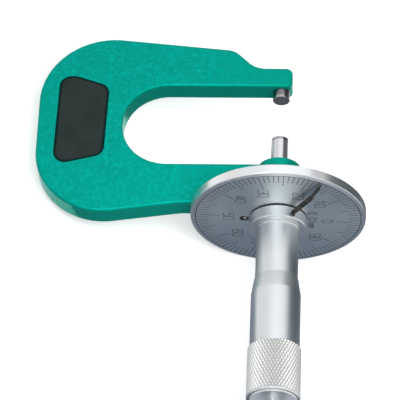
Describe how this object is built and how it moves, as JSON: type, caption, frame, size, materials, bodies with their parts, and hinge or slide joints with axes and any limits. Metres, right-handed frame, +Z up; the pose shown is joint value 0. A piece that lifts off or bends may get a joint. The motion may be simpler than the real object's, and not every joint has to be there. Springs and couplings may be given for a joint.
{
  "type": "sheet metal micrometer",
  "caption": "Deep-throat sheet micrometer with a painted flat frame, a fixed graduated dial, a turning pointer, a knurled thimble and a ratchet stop.",
  "frame": {"origin": "on the bench, under the middle of the instrument's box as it lies on its back", "axes": "+Y along the spindle towards the anvil, +Z up out of the front of the frame, +X towards the throat's open side"},
  "size_m": [0.1194, 0.1626, 0.0642],
  "materials": {
    "frame_paint": "green hammered enamel",
    "pad_plastic": "dark grey moulded, matt",
    "dial_metal": "satin, black engraved marks",
    "satin_chrome": "satin chromed turned steel",
    "knurl_chrome": "satin chromed and knurled steel",
    "ground_steel": "ground and lapped",
    "hard_metal": "lapped hard metal",
    "black_steel": "blackened",
    "bright_brass": "turned"
  },
  "bodies": {
    "frame_body": {"frame": "frame_paint", "front_pad": "pad_plastic", "back_pad": "pad_plastic", "anvil": "ground_steel", "anvil_tip": "hard_metal", "nut_barrel": "ground_steel", "adjusting_nut": "ground_steel", "thrust_washer": "bright_brass", "dial_disc": "dial_metal", "dial_screw": "black_steel"},
    "pointer_carrier": {"hub": "satin_chrome", "hub_screw": "black_steel", "drive_sleeve": "satin_chrome", "drive_key": "ground_steel", "pointer": "black_steel", "pointer_screw": "black_steel"},
    "spindle_set": {"spindle": "ground_steel", "spindle_tip": "hard_metal", "thimble": "knurl_chrome", "end_cap": "satin_chrome", "ratchet_stem": "satin_chrome", "ratchet_wheel": "ground_steel", "ratchet_screw": "satin_chrome"},
    "ratchet": {"ratchet_knob": "satin_chrome", "ratchet_clutch": "ground_steel", "ratchet_spring": "ground_steel"}
  },
  "joints": [
    {"name": "pointer_turn", "type": "hinge", "parent": "frame_body", "child": "pointer_carrier", "pos_m": [0.02757, 0, 0.0321], "axis": [0, 1, 0], "range_deg": [-2817.3, 6182.6]},
    {"name": "spindle_feed", "type": "slide", "parent": "pointer_carrier", "child": "spindle_set", "axis": [0, 1, 0], "range_m": [-0.00783, 0.01717]},
    {"name": "ratchet_turn", "type": "hinge", "parent": "spindle_set", "child": "ratchet", "pos_m": [0.02757, 0, 0.0321], "axis": [0, 1, 0], "continuous": true}
  ],
  "couplings": [
    {"joint": "spindle_feed", "follows": "pointer_turn", "m_per_rad": 0.00015915}
  ]
}
